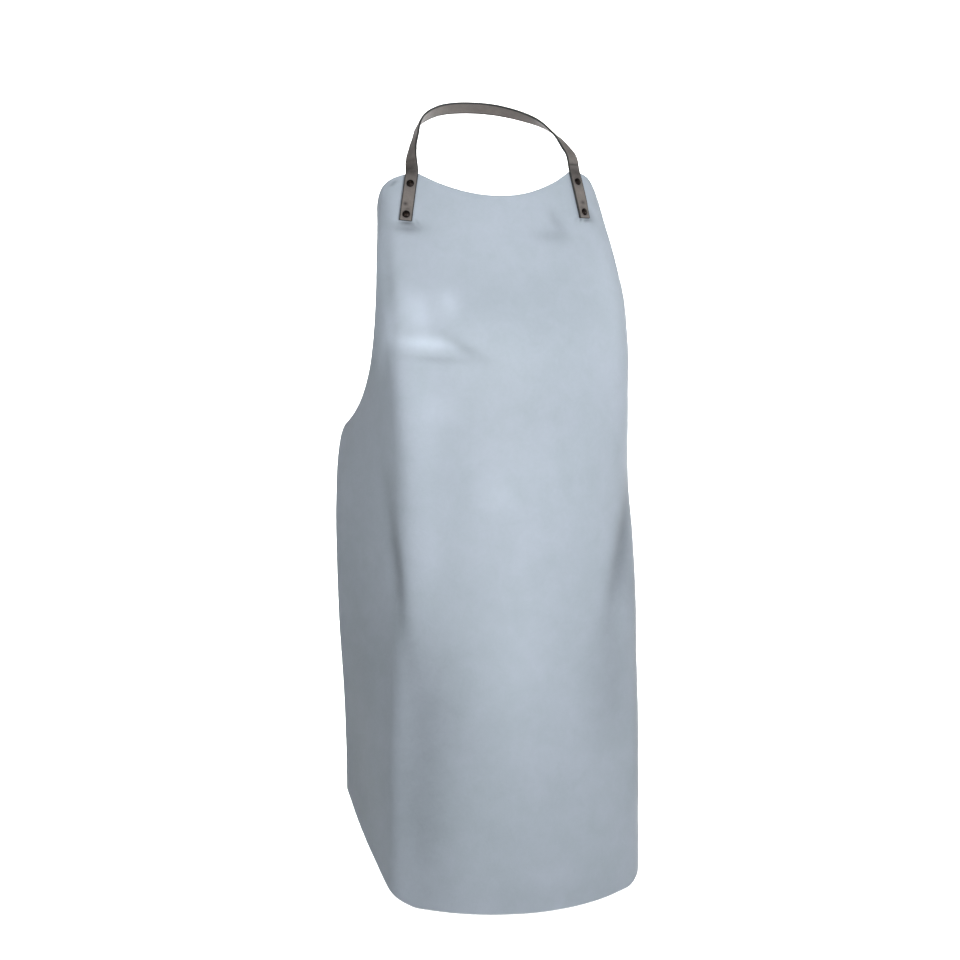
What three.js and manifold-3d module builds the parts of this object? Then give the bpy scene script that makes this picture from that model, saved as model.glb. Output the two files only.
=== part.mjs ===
// A leather welding apron, shaped as it hangs on a body.
// One sheet of thick leather covers the chest and legs and wraps back round the hips.
// A flat leather strap is riveted to both corners of the bib and loops round the nape.
//
// Lengths are in millimetres. +Z is up and the front of the apron faces -Y.
// The origin is the middle of the strap's inner face, at the nape.
//
// The sheet is cut flat, then bent. A point on the flat sheet is (across, down):
// across is measured from the centre line, down from the level of the bib's corners.

import * as THREE from "three";
import { mergeVertices } from "three/addons/utils/BufferGeometryUtils.js";
import Module from "manifold-3d";

const wasm = await Module();
wasm.setup();

// Flat sheet
const sheetWidth = 600;
const sheetLength = 900;
const sheetThickness = 2;

// Bib: the neckline and the rounded corners beside it
const bibHalfWidth = 158;
const bibCornerDrop = 48;
const necklineHalfWidth = 98;
const necklineDip = 29;

// Armholes: they end at the sides, in a rounded corner
const armholeDepth = 331;
const armholeCornerRound = 16;

// Hem: nearly straight in the middle, with the two lower corners cut off
const hemHalfWidth = 142;
const hemRise = 9;
const lowerCornerCut = 126;
const lowerCornerBend = 1.3;

// Bending: how far the bib leans back, and how long the turn to each side panel is
const bibLean = 114;
const leftRidgeLength = 30;
const rightRidgeLength = 80;
const flareLength = 150;
const dentDepth = 4;

// Neck strap
const strapWidth = 15.5;
const strapThickness = 2.5;
const strapHalfSpan = 105.5;
const strapSpread = { left: 0.245, right: 0.1 };
const strapOverlap = 60;
const napeBehind = 105;
const napeRise = 76;

// Rivets: a domed head, a shank and a flat cap behind the sheet
const rivetRows = { upper: 14.5, lower: 52.5 };
const rivetHeadRadius = 4.5;
const rivetHeadHeight = 2;
const rivetCapRadius = 4;
const rivetCapHeight = 1.2;
const rivetShankRadius = 2;

// Clearances
const restingGap = 0.3;
const holeClearance = 0.3;

// Fineness of the meshes
const columnsAcross = 44;
const rowsDown = 38;
const columnCrowding = 0.6;
const rowCrowding = 0.5;
const walkStep = 4;
const strapSteps = 4;
const roundSides = 12;
const domeSteps = 3;
const bibStops = 6;
const drillReach = 4;

const halfWidth = sheetWidth / 2;

// The armhole is one Bezier curve. Its two control points lie between the bib's corner
// and the side, out across the sheet and down it.
const armholeControls = [
  { out: 0.036, down: 0.486 },
  { out: 0.44, down: 0.846 },
];

// How each row of the sheet is bent. along is a share of the sheet's length, front the
// half-width of the front panel as a share of half the sheet's width, lean the place of the
// centre line as a share of the bib's lean. The rest are angles in degrees: bow across the
// front panel, turn at the ridge, flare across the side panel.
const bendTable = [
  { along: 0.0, front: 0.457, lean: 1.0, bow: 27, turn: 54, flare: 8.5 },
  { along: 0.12, front: 0.5, lean: 0.65, bow: 25, turn: 37, flare: 15 },
  { along: 0.28, front: 0.529, lean: 0.112, bow: 35, turn: 37, flare: 21 },
  { along: 0.42, front: 0.53, lean: -0.04, bow: 41, turn: 29.5, flare: 9.7 },
  { along: 0.6, front: 0.537, lean: -0.085, bow: 32, turn: 43.5, flare: 1 },
  { along: 0.8, front: 0.565, lean: -0.12, bow: 34.5, turn: 45.5, flare: 3.5 },
  { along: 1.0, front: 0.57, lean: -0.113, bow: 35.5, turn: 44.5, flare: 3.5 },
];

// Dents and soft folds. across and reach are shares of half the sheet's width, down is a
// share of its length and narrow a share of reach. tilt turns the fold clockwise from level,
// in degrees, and rise is a share of the dent's depth, inwards when negative.
const dentTable = [
  // The fold below the chest, with the swelling above it
  { across: -0.31, down: 0.256, reach: 0.17, narrow: 0.33, tilt: 24, rise: -0.75 },
  { across: -0.25, down: 0.2, reach: 0.2, narrow: 0.45, tilt: 20, rise: 0.5 },
  // The ledge where the chest ends
  { across: -0.12, down: 0.29, reach: 0.36, narrow: 0.22, tilt: 2, rise: -0.5 },
  // The slanting fold at the right hip
  { across: 0.44, down: 0.51, reach: 0.3, narrow: 0.32, tilt: 106, rise: -0.9 },
  // The groove beside the left ridge
  { across: -0.55, down: 0.54, reach: 0.26, narrow: 0.22, tilt: 90, rise: -0.6 },
  // Hollows under the strap's ends and beside the right one
  { across: -0.36, down: 0.085, reach: 0.1, narrow: 0.8, tilt: 20, rise: -0.35 },
  { across: 0.4, down: 0.08, reach: 0.1, narrow: 0.8, tilt: -20, rise: -0.35 },
  { across: 0.25, down: 0.07, reach: 0.07, narrow: 0.6, tilt: -35, rise: -0.4 },
  // Long slack waves in the skirt
  { across: -0.2, down: 0.72, reach: 0.6, narrow: 0.3, tilt: 84, rise: 0.45 },
  { across: 0.2, down: 0.8, reach: 0.6, narrow: 0.3, tilt: 97, rise: 0.4 },
  { across: 0.72, down: 0.66, reach: 0.6, narrow: 0.26, tilt: 92, rise: -0.7 },
  { across: -0.78, down: 0.7, reach: 0.5, narrow: 0.26, tilt: 88, rise: 0.6 },
];

// The strap's way from the bib's top edge up over the shoulder to the nape. out is a share
// of strapHalfSpan, back of napeBehind and up of napeRise. Angles in degrees say where its
// outer face looks: turn from the front towards the side, lift above level.
const strapRoute = [
  { out: 0.97, back: 0.056, up: 0.23, leftTurn: 60, leftLift: 25, rightTurn: 26, rightLift: 39 },
  { out: 0.92, back: 0.155, up: 0.4, leftTurn: 80, leftLift: 22, rightTurn: 40, rightLift: 45 },
  { out: 0.86, back: 0.245, up: 0.55, leftTurn: 88, leftLift: 22, rightTurn: 60, rightLift: 46 },
  { out: 0.75, back: 0.46, up: 0.74, leftTurn: 100, leftLift: 25, rightTurn: 90, rightLift: 45 },
  { out: 0.575, back: 0.69, up: 0.87, leftTurn: 130, leftLift: 28, rightTurn: 125, rightLift: 40 },
  { out: 0.31, back: 0.905, up: 0.97, leftTurn: 155, leftLift: 28, rightTurn: 155, rightLift: 32 },
];
const napeFace = { turn: 180, lift: 28 };

const { clamp, degToRad, lerp, smoothstep } = THREE.MathUtils;

// A smooth curve through one column of a table. It never swings past the values.
function columnCurve(rows, column) {
  const places = rows.map((row) => row.along);
  const values = rows.map((row) => row[column]);
  const last = rows.length - 1;
  const grade = (i) => (values[i + 1] - values[i]) / (places[i + 1] - places[i]);
  const slopes = values.map((value, i) => {
    if (i === 0) return grade(0);
    if (i === last) return grade(last - 1);
    const before = grade(i - 1);
    const after = grade(i);
    return before * after <= 0 ? 0 : (2 * before * after) / (before + after);
  });
  return (along) => {
    let i = 0;
    while (i < last - 1 && along > places[i + 1]) i += 1;
    const span = places[i + 1] - places[i];
    const t = clamp((along - places[i]) / span, 0, 1);
    const ease = t * t * (3 - 2 * t);
    const leaving = span * slopes[i] * t * (1 - t) ** 2;
    const arriving = span * slopes[i + 1] * t * t * (t - 1);
    return lerp(values[i], values[i + 1], ease) + leaving + arriving;
  };
}

const frontShare = columnCurve(bendTable, "front");
const leanShare = columnCurve(bendTable, "lean");
const bowAngle = columnCurve(bendTable, "bow");
const turnAngle = columnCurve(bendTable, "turn");
const flareAngle = columnCurve(bendTable, "flare");

// The centre line: how far back and how far below the bib's corners it is.
function centreLine(down) {
  const steps = Math.max(1, Math.ceil(Math.abs(down) / walkStep));
  const step = down / steps;
  let drop = 0;
  let before = leanShare(0) * bibLean;
  for (let i = 1; i <= steps; i += 1) {
    const back = leanShare((i * step) / sheetLength) * bibLean;
    drop += Math.sqrt(step ** 2 - (back - before) ** 2) * Math.sign(step);
    before = back;
  }
  return { back: before, drop };
}

// The bend of one row, walked from the centre line out to the given place.
function rowBend(across, along) {
  const side = Math.sign(across);
  const reach = Math.abs(across);
  const ridge = side < 0 ? leftRidgeLength : rightRidgeLength;
  const front = frontShare(along) * halfWidth;
  const steps = Math.max(1, Math.ceil(reach / walkStep));
  const step = reach / steps;
  let x = 0;
  let y = 0;
  for (let i = 0; i < steps; i += 1) {
    const at = (i + 0.5) * step;
    const bow = bowAngle(along) * Math.min(at / front, 1);
    const turn = turnAngle(along) * smoothstep(at, front - ridge / 2, front + ridge / 2);
    const flare = flareAngle(along) * Math.max((at - front) / flareLength, 0);
    const angle = degToRad(bow + turn + flare);
    x += Math.cos(angle) * step;
    y += Math.sin(angle) * step;
  }
  return { x: side * x, y };
}

function smoothPoint(across, down) {
  const centre = centreLine(down);
  const bend = rowBend(across, down / sheetLength);
  return new THREE.Vector3(bend.x, centre.back + bend.y, -centre.drop);
}

// The direction that a bent surface faces, away from the wearer.
function facing(surface, across, down) {
  const nudge = 1;
  const right = surface(across + nudge, down).sub(surface(across - nudge, down));
  const below = surface(across, down + nudge).sub(surface(across, down - nudge));
  return below.cross(right).normalize();
}

// How far the dents and folds lift the sheet at one place.
function relief(across, down) {
  let lift = 0;
  for (const dent of dentTable) {
    const x = across - dent.across * halfWidth;
    const y = down - dent.down * sheetLength;
    const tilt = degToRad(dent.tilt);
    const reach = dent.reach * halfWidth;
    const lengthwise = (x * Math.cos(tilt) + y * Math.sin(tilt)) / reach;
    const sideways = (y * Math.cos(tilt) - x * Math.sin(tilt)) / (reach * dent.narrow);
    lift += dent.rise * dentDepth * Math.exp(-(lengthwise ** 2) - sideways ** 2);
  }
  return lift;
}

// The outer face of the sheet.
function sheetPoint(across, down) {
  const out = facing(smoothPoint, across, down);
  return smoothPoint(across, down).addScaledVector(out, relief(across, down));
}

function sheetFacing(across, down) {
  return facing(sheetPoint, across, down);
}

// The right half of the bib's top edge: the neckline, then the upper half of the corner.
// The corner's lower half is the start of the side edge.
function topEdge() {
  const corner = (start, end) => new THREE.EllipseCurve(
    necklineHalfWidth, bibCornerDrop, bibHalfWidth - necklineHalfWidth, bibCornerDrop, start, end,
  );
  const neckline = new THREE.QuadraticBezierCurve(
    new THREE.Vector2(0, necklineDip),
    new THREE.Vector2(necklineHalfWidth / 2, necklineDip),
    new THREE.Vector2(necklineHalfWidth, 0),
  );
  const edge = new THREE.CurvePath();
  edge.add(neckline);
  edge.add(corner(-Math.PI / 2, -Math.PI / 4));
  return { edge, lowerCorner: corner(-Math.PI / 4, 0) };
}

// The right edge: the lower half of the bib's corner, the armhole, the side.
function sideEdge(lowerCorner) {
  const start = new THREE.Vector2(bibHalfWidth, bibCornerDrop);
  const corner = new THREE.Vector2(halfWidth, armholeDepth);
  const [first, second] = armholeControls.map((control) => new THREE.Vector2(
    lerp(start.x, corner.x, control.out), lerp(start.y, corner.y, control.down),
  ));
  const arriving = corner.clone().sub(second).setLength(armholeCornerRound);
  const armholeEnd = corner.clone().sub(arriving);
  const sideStart = new THREE.Vector2(halfWidth, armholeDepth + armholeCornerRound);
  const sideEnd = new THREE.Vector2(halfWidth, sheetLength - lowerCornerCut);
  const edge = new THREE.CurvePath();
  edge.add(lowerCorner);
  edge.add(new THREE.CubicBezierCurve(start, first, second, armholeEnd));
  edge.add(new THREE.QuadraticBezierCurve(armholeEnd, corner, sideStart));
  edge.add(new THREE.LineCurve(sideStart, sideEnd));
  return edge;
}

// The bottom edge, as the place down the sheet for each place across it.
function hemDown(across) {
  const reach = Math.abs(across);
  const rise = hemRise * Math.min(reach / hemHalfWidth, 1) ** 2;
  const corner = clamp((reach - hemHalfWidth) / (halfWidth - hemHalfWidth), 0, 1);
  return sheetLength - rise - (lowerCornerCut - hemRise) * corner ** lowerCornerBend;
}

// The flat pattern as a grid of points, blended between its four edges. Columns crowd
// together half way out, where the sheet turns from the front to the sides, and rows
// crowd together at the bib.
function flatPattern() {
  const { edge: top, lowerCorner } = topEdge();
  const side = sideEdge(lowerCorner);
  const topCorner = top.getPointAt(1);
  const bottomCorner = new THREE.Vector2(halfWidth, hemDown(halfWidth));
  const rows = [];
  for (let j = 0; j <= rowsDown; j += 1) {
    const level = j / rowsDown;
    const t = level * lerp(1 - rowCrowding, 1, level);
    const outer = side.getPointAt(t);
    const row = [];
    for (let i = 0; i <= columnsAcross; i += 1) {
      const even = (2 * i) / columnsAcross - 1;
      const crowd = (columnCrowding / (2 * Math.PI)) * Math.sin(2 * Math.PI * Math.abs(even));
      const share = Math.abs(even) + crowd;
      const above = top.getPointAt(clamp(share, 0, 1));
      const below = share * halfWidth;
      const across = lerp(above.x, below, t) + share * (outer.x - lerp(topCorner.x, bottomCorner.x, t));
      const down = lerp(above.y, hemDown(below), t) + outer.y - lerp(topCorner.y, bottomCorner.y, t);
      row.push({ across: Math.sign(even) * across, down });
    }
    rows.push(row);
  }
  return rows;
}

// Faces between two grids of points, one a wall's thickness behind the other.
function wallGeometry(front, back) {
  const rows = front.length;
  const columns = front[0].length;
  const points = [...front.flat(), ...back.flat()];
  const behind = rows * columns;
  const index = [];
  const at = (i, j) => j * columns + i;
  const band = (from, to) => {
    index.push(to, from, from + behind);
    index.push(to, from + behind, to + behind);
  };
  for (let j = 0; j < rows - 1; j += 1) {
    for (let i = 0; i < columns - 1; i += 1) {
      const corners = [at(i, j), at(i, j + 1), at(i + 1, j + 1), at(i + 1, j)];
      const [a, b, c, d] = corners;
      const [e, f, g, h] = corners.map((corner) => corner + behind);
      index.push(a, b, c, a, c, d);
      index.push(e, g, f, e, h, g);
    }
  }
  for (let i = 0; i < columns - 1; i += 1) {
    band(at(i + 1, 0), at(i, 0));
    band(at(i, rows - 1), at(i + 1, rows - 1));
  }
  for (let j = 0; j < rows - 1; j += 1) {
    band(at(0, j), at(0, j + 1));
    band(at(columns - 1, j + 1), at(columns - 1, j));
  }
  const geometry = new THREE.BufferGeometry().setFromPoints(points);
  geometry.setIndex(index);
  return geometry;
}

function sheetGeometry() {
  const pattern = flatPattern();
  const outer = pattern.map((row) => row.map((flat) => sheetPoint(flat.across, flat.down)));
  const inner = pattern.map((row, j) => row.map((flat, i) => {
    const out = sheetFacing(flat.across, flat.down);
    return outer[j][i].clone().addScaledVector(out, -sheetThickness);
  }));
  return wallGeometry(outer, inner);
}

// Where the strap's centre line crosses a level of the bib.
function strapAcross(side, down) {
  const spread = side < 0 ? strapSpread.left : strapSpread.right;
  return side * (strapHalfSpan + spread * down);
}

function faceDirection(side, turn, lift) {
  const level = Math.cos(degToRad(lift));
  return new THREE.Vector3(
    side * Math.sin(degToRad(turn)) * level,
    -Math.cos(degToRad(turn)) * level,
    Math.sin(degToRad(lift)),
  );
}

// One half of the strap, from its end on the bib up to the last point before the nape.
function strapHalf(side) {
  const stops = [];
  for (let i = 0; i <= bibStops; i += 1) {
    const down = strapOverlap * (1 - i / bibStops);
    const across = strapAcross(side, down);
    const face = sheetFacing(across, down);
    const centre = sheetPoint(across, down).addScaledVector(face, restingGap + strapThickness / 2);
    stops.push({ centre, face });
  }
  const leaving = stops[stops.length - 1].centre;
  for (const row of strapRoute) {
    const centre = new THREE.Vector3(
      side * row.out * strapHalfSpan,
      leaving.y + row.back * napeBehind,
      leaving.z + row.up * napeRise,
    );
    const turn = side < 0 ? row.leftTurn : row.rightTurn;
    const lift = side < 0 ? row.leftLift : row.rightLift;
    stops.push({ centre, face: faceDirection(side, turn, lift) });
  }
  return stops;
}

const leftHalf = strapHalf(-1);
const rightHalf = strapHalf(1);
const leaving = leftHalf[leftHalf.length - 1 - strapRoute.length].centre;
const napeStop = {
  centre: new THREE.Vector3(0, leaving.y + napeBehind, leaving.z + napeRise),
  face: faceDirection(1, napeFace.turn, napeFace.lift),
};
const strapStops = [...leftHalf, napeStop, ...rightHalf.reverse()];

// The strap is a flat ribbon along a smooth curve. Its face turns smoothly from stop to stop.
function strapGeometry() {
  const path = new THREE.CatmullRomCurve3(strapStops.map((stop) => stop.centre));
  const faces = new THREE.CatmullRomCurve3(strapStops.map((stop) => stop.face));
  const steps = (strapStops.length - 1) * strapSteps;
  const front = [];
  const back = [];
  for (let i = 0; i <= steps; i += 1) {
    const t = i / steps;
    const ahead = path.getTangent(t);
    const sideways = faces.getPoint(t).cross(ahead).normalize();
    const face = ahead.clone().cross(sideways);
    const corner = (across, out) => path.getPoint(t)
      .addScaledVector(sideways, (across * strapWidth) / 2)
      .addScaledVector(face, (out * strapThickness) / 2);
    front.push([corner(-1, 1), corner(1, 1)]);
    back.push([corner(-1, -1), corner(1, -1)]);
  }
  return wallGeometry(front, back);
}

// A rivet along its own axis, from the sheet's outer face at zero. The head sits on the
// strap and the cap behind the sheet.
function rivetGeometry() {
  const seat = restingGap + strapThickness + restingGap;
  const capTop = -sheetThickness - restingGap;
  const rim = rivetHeadHeight / 4;
  const profile = [
    new THREE.Vector2(0, capTop - rivetCapHeight),
    new THREE.Vector2(rivetCapRadius, capTop - rivetCapHeight),
    new THREE.Vector2(rivetCapRadius, capTop),
    new THREE.Vector2(rivetShankRadius, capTop),
    new THREE.Vector2(rivetShankRadius, seat),
    new THREE.Vector2(rivetHeadRadius, seat),
  ];
  for (let i = 0; i <= domeSteps; i += 1) {
    const angle = ((i / domeSteps) * Math.PI) / 2;
    const radius = rivetHeadRadius * Math.cos(angle);
    const height = seat + rim + (rivetHeadHeight - rim) * Math.sin(angle);
    profile.push(new THREE.Vector2(i === domeSteps ? 0 : radius, height));
  }
  return new THREE.LatheGeometry(profile, roundSides);
}

// The place of a rivet: its own Y axis points out of the sheet.
function rivetPlace(side, down) {
  const across = strapAcross(side, down);
  const out = sheetFacing(across, down);
  const turned = new THREE.Quaternion().setFromUnitVectors(new THREE.Vector3(0, 1, 0), out);
  return new THREE.Matrix4().compose(sheetPoint(across, down), turned, new THREE.Vector3(1, 1, 1));
}

function toSolid(geometry) {
  const bare = geometry.clone();
  bare.deleteAttribute("normal");
  bare.deleteAttribute("uv");
  const merged = mergeVertices(bare);
  return new wasm.Manifold(new wasm.Mesh({
    numProp: 3,
    vertProperties: new Float32Array(merged.attributes.position.array),
    triVerts: new Uint32Array(merged.index.array),
  }));
}

function fromSolid(solid) {
  const mesh = solid.getMesh();
  const geometry = new THREE.BufferGeometry();
  geometry.setAttribute("position", new THREE.BufferAttribute(mesh.vertProperties, 3));
  geometry.setIndex(new THREE.BufferAttribute(mesh.triVerts, 1));
  return geometry;
}

// Cuts a hole for each rivet's shank through the sheet or the strap.
function drilled(geometry, places) {
  const radius = rivetShankRadius + holeClearance;
  const length = drillReach * (sheetThickness + strapThickness);
  let solid = toSolid(geometry);
  for (const place of places) {
    const drill = new THREE.CylinderGeometry(radius, radius, length, roundSides);
    solid = solid.subtract(toSolid(drill.applyMatrix4(place)));
  }
  return fromSolid(solid);
}

function leather(color, roughness) {
  return new THREE.MeshStandardMaterial({ color, roughness, metalness: 0 });
}

const sheetLeather = leather(0xb4bfca, 0.72);
const strapLeather = leather(0x7b736d, 0.6);
const darkMetal = new THREE.MeshStandardMaterial({ color: 0x33291f, roughness: 0.4, metalness: 0.9 });

const rivets = [];
for (const [sideName, side] of [["left", -1], ["right", 1]]) {
  for (const [rowName, down] of Object.entries(rivetRows)) {
    rivets.push({ name: `rivet_${sideName}_${rowName}`, place: rivetPlace(side, down) });
  }
}
const rivetPlaces = rivets.map((rivet) => rivet.place);

function namedMesh(name, geometry, material) {
  const mesh = new THREE.Mesh(geometry, material);
  mesh.name = name;
  return mesh;
}

const apron = new THREE.Group();
apron.add(namedMesh("apron_body", drilled(sheetGeometry(), rivetPlaces), sheetLeather));
apron.add(namedMesh("neck_strap", drilled(strapGeometry(), rivetPlaces), strapLeather));
for (const rivet of rivets) {
  const mesh = namedMesh(rivet.name, rivetGeometry(), darkMetal);
  mesh.applyMatrix4(rivet.place);
  apron.add(mesh);
}

// The origin moves to the strap's inner face at the nape.
const napeInside = napeStop.centre.clone().addScaledVector(napeStop.face, -strapThickness / 2);
apron.position.copy(napeInside).negate();

export default apron;
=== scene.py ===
# The looks of a leather welding apron, shaped as it hangs on a body.
#
# Lengths are in metres. +Z is up, the front of the apron faces -Y, and the origin is the
# middle of the strap's inner face, at the nape. A point on the flat sheet is
# (across, down): across is measured from the centre line, down from the bib's corners.

import math

import bpy
import numpy as np
from mathutils import Matrix, Vector


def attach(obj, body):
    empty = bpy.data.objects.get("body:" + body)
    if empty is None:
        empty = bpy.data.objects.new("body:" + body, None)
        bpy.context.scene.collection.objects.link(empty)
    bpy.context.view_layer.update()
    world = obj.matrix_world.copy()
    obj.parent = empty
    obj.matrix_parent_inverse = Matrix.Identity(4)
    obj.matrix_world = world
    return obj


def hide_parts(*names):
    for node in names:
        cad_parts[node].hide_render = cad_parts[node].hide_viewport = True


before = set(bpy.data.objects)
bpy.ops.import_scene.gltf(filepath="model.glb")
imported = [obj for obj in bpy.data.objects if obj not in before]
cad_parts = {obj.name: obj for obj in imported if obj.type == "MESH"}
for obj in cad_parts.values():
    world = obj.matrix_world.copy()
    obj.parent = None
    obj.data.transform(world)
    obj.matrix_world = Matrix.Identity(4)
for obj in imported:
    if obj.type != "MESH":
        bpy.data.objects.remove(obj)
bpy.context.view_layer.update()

# Flat sheet
SHEET_WIDTH = 0.6
SHEET_LENGTH = 0.9
SHEET_THICKNESS = 0.002
HALF_WIDTH = SHEET_WIDTH / 2

# Bib: the neckline and the rounded corners beside it
BIB_HALF_WIDTH = 0.158
BIB_CORNER_DROP = 0.048
NECKLINE_HALF_WIDTH = 0.098
NECKLINE_DIP = 0.029

# Armholes
ARMHOLE_DEPTH = 0.331
ARMHOLE_CORNER_ROUND = 0.016
ARMHOLE_CONTROLS = [(0.036, 0.486), (0.44, 0.846)]

# Hem
HEM_HALF_WIDTH = 0.142
HEM_RISE = 0.009
LOWER_CORNER_CUT = 0.126
LOWER_CORNER_BEND = 1.3

# Bending
BIB_LEAN = 0.114
LEFT_RIDGE_LENGTH = 0.03
RIGHT_RIDGE_LENGTH = 0.08
FLARE_LENGTH = 0.15
DENT_DEPTH = 0.004

# Neck strap
STRAP_WIDTH = 0.0155
STRAP_THICKNESS = 0.0025
STRAP_CORNER_ROUND = 0.0006
STRAP_HALF_SPAN = 0.1055
STRAP_SPREAD = {-1: 0.245, 1: 0.1}
STRAP_OVERLAP = 0.06
NAPE_BEHIND = 0.105
NAPE_RISE = 0.076
RESTING_GAP = 0.0003

# The strap's right half is wider by a share, which grows between two shares of its length.
STRAP_WIDENING = 0.08
STRAP_WIDENING_SPAN = (0.5, 0.8)

# Rivets
RIVET_ROWS = {"upper": 0.0145, "lower": 0.0525}
RIVET_HEAD_RADIUS = 0.0045
RIVET_HEAD_HEIGHT = 0.002
RIVET_CAP_RADIUS = 0.004
RIVET_CAP_HEIGHT = 0.0012
RIVET_SHANK_RADIUS = 0.002
RIVET_SEAT = RESTING_GAP * 2 + STRAP_THICKNESS
RIVET_EDGE_ROUND = 0.0003
RIVET_DOME_RADIUS = RIVET_HEAD_RADIUS * 0.985
RIVET_DOME_START = RIVET_EDGE_ROUND * 1.5
RIVET_DOME_BULGE = 0.9

# How each row of the sheet is bent. along is a share of the sheet's length, front of half
# its width, lean of the bib's lean. bow, turn and flare are angles in degrees.
BEND_COLUMNS = ("along", "front", "lean", "bow", "turn", "flare")
BEND_TABLE = [
    (0.0, 0.457, 1.0, 27, 54, 8.5),
    (0.12, 0.5, 0.65, 25, 37, 15),
    (0.28, 0.529, 0.112, 35, 37, 21),
    (0.42, 0.53, -0.04, 41, 29.5, 9.7),
    (0.6, 0.537, -0.085, 32, 43.5, 1),
    (0.8, 0.565, -0.12, 34.5, 45.5, 3.5),
    (1.0, 0.57, -0.113, 35.5, 44.5, 3.5),
]

# Dents and soft folds. across and reach are shares of half the sheet's width, down of its
# length, narrow of reach and rise of the dent's depth. tilt is in degrees, clockwise.
DENT_COLUMNS = ("across", "down", "reach", "narrow", "tilt", "rise")
DENT_TABLE = [
    (-0.31, 0.256, 0.17, 0.33, 24, -0.75),
    (-0.25, 0.2, 0.2, 0.45, 20, 0.5),
    (-0.12, 0.29, 0.36, 0.22, 2, -0.5),
    (0.44, 0.51, 0.3, 0.32, 106, -0.9),
    (-0.55, 0.54, 0.26, 0.22, 90, -0.6),
    (-0.36, 0.085, 0.1, 0.8, 20, -0.35),
    (0.4, 0.08, 0.1, 0.8, -20, -0.35),
    (0.25, 0.07, 0.07, 0.6, -35, -0.4),
    (-0.2, 0.72, 0.6, 0.3, 84, 0.45),
    (0.2, 0.8, 0.6, 0.3, 97, 0.4),
    (0.72, 0.66, 0.6, 0.26, 92, -0.7),
    (-0.78, 0.7, 0.5, 0.26, 88, 0.6),
]

# Small dents, in the same columns: round the strap's ends, on the chest and down the skirt.
SMALL_DENT_TABLE = [
    (-0.393, 0.076, 0.05, 0.4, 0, -0.25),
    (0.403, 0.062, 0.04, 0.6, 40, -0.2),
    (0.233, 0.069, 0.067, 0.5, 60, -0.25),
    (0.193, 0.089, 0.073, 0.4, 5, -0.2),
    (-0.26, 0.242, 0.09, 0.3, 32, -0.28),
    (-0.4, 0.259, 0.14, 0.12, 3, -0.16),
    (-0.407, 0.238, 0.1, 0.4, 0, 0.16),
    (-0.36, 0.198, 0.073, 0.6, 70, 0.14),
    (-0.373, 0.331, 0.1, 0.6, 10, 0.14),
    (-0.153, 0.441, 0.113, 0.7, 40, 0.12),
    (0.1, 0.356, 0.2, 0.3, 70, -0.1),
    (0.457, 0.52, 0.267, 0.17, 111, -0.5),
    (0.393, 0.578, 0.133, 0.2, 104, -0.16),
    (-0.56, 0.536, 0.283, 0.1, 80.5, -0.2),
    (-0.067, 0.622, 0.25, 0.3, 60, 0.12),
    (0.3, 0.7, 0.3, 0.25, 80, -0.12),
    (-0.4, 0.8, 0.3, 0.25, 95, 0.12),
]

# The strap's way from the bib's top edge up over the shoulder to the nape, with the way
# that its outer face looks on the left and on the right.
ROUTE_COLUMNS = ("out", "back", "up", "left_turn", "left_lift", "right_turn", "right_lift")
STRAP_ROUTE = [
    (0.97, 0.056, 0.23, 60, 25, 26, 39),
    (0.92, 0.155, 0.4, 80, 22, 40, 45),
    (0.86, 0.245, 0.55, 88, 22, 60, 46),
    (0.75, 0.46, 0.74, 100, 25, 90, 45),
    (0.575, 0.69, 0.87, 130, 28, 125, 40),
    (0.31, 0.905, 0.97, 155, 28, 155, 32),
]
NAPE_TURN = 180
NAPE_LIFT = 28

# Fineness of the sheet
COLUMNS = 188
ROWS = 226
ROW_STEPS = 48
CENTRE_STEP = 0.001
CENTRE_SPARE = 20
CURVE_POINTS = 80
FACING_NUDGE = 0.001
EDGE_ROUND = 0.0006
EDGE_LINES = (0.0, 0.00018, 0.00045)

# Fineness of the strap and rivets
STRAP_RINGS = 420
STRAP_END_LINES = (0.0, 0.0002, 0.0005)
STRAP_PATH_POINTS = 4000
STRAP_NUDGE = 1e-4
BIB_STOPS = 6
SECTION_CORNER_STEPS = 3
SECTION_OUTER_STEPS = 12
SECTION_INNER_STEPS = 6
RIVET_SIDES = 40
RIVET_CAP_ANGLES = (30, 60, 90)
RIVET_DOME_ROWS = 9

# Colours, as linear red, green and blue. A pair is blended from place to place.
SHEET_COLOURS = (0.362, 0.418, 0.474), (0.37, 0.42, 0.484)
# The sheet's pale cut edge: partly its own colour, partly a painted highlight along it
SHEET_EDGE_AND_HIGHLIGHT_COLOUR = (0.64, 0.68, 0.71)
BACK_COLOURS = (0.34, 0.374, 0.405), (0.358, 0.386, 0.41)
BACK_EDGE_COLOUR = (0.6, 0.63, 0.65)
STRAP_COLOURS = (0.182, 0.163, 0.152), (0.152, 0.137, 0.128)
# Near-black painted shade for the strap's cut edges and ends
STRAP_EDGE_SHADE_COLOUR = (0.022, 0.024, 0.024)
RIVET_COLOURS = (0.013, 0.01, 0.009), (0.085, 0.063, 0.048)
PAPER_COLOUR = (0.93, 0.93, 0.93)

# How far in from its cut edge the sheet is paler, partly its cut edge's own colour and partly
# a painted highlight, and the least share of its colour that is left in a dark patch
PALE_EDGE = 0.0022
SHEET_DARKEST = 0.08
STRAP_DARKEST = 0.12

# Camera
CAMERA_PLACE = (-1.15386, -3.27934, 0.00212)
CAMERA_TARGET = (-0.03838, -0.16176, -0.43977)
CAMERA_LENS = 104.907

# Stage: a floor, and a wall that stands behind it on a hair's breadth of seam
FLOOR_LEVEL = -1.4
FLOOR_REACH = 60.0
WALL_BEHIND = 6.0
WALL_REACH = 12.0
WALL_HEIGHT = 6.0
WALL_BEND = 2.0
WALL_BEND_POINTS = 25
WALL_SEAM = 0.001

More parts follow.
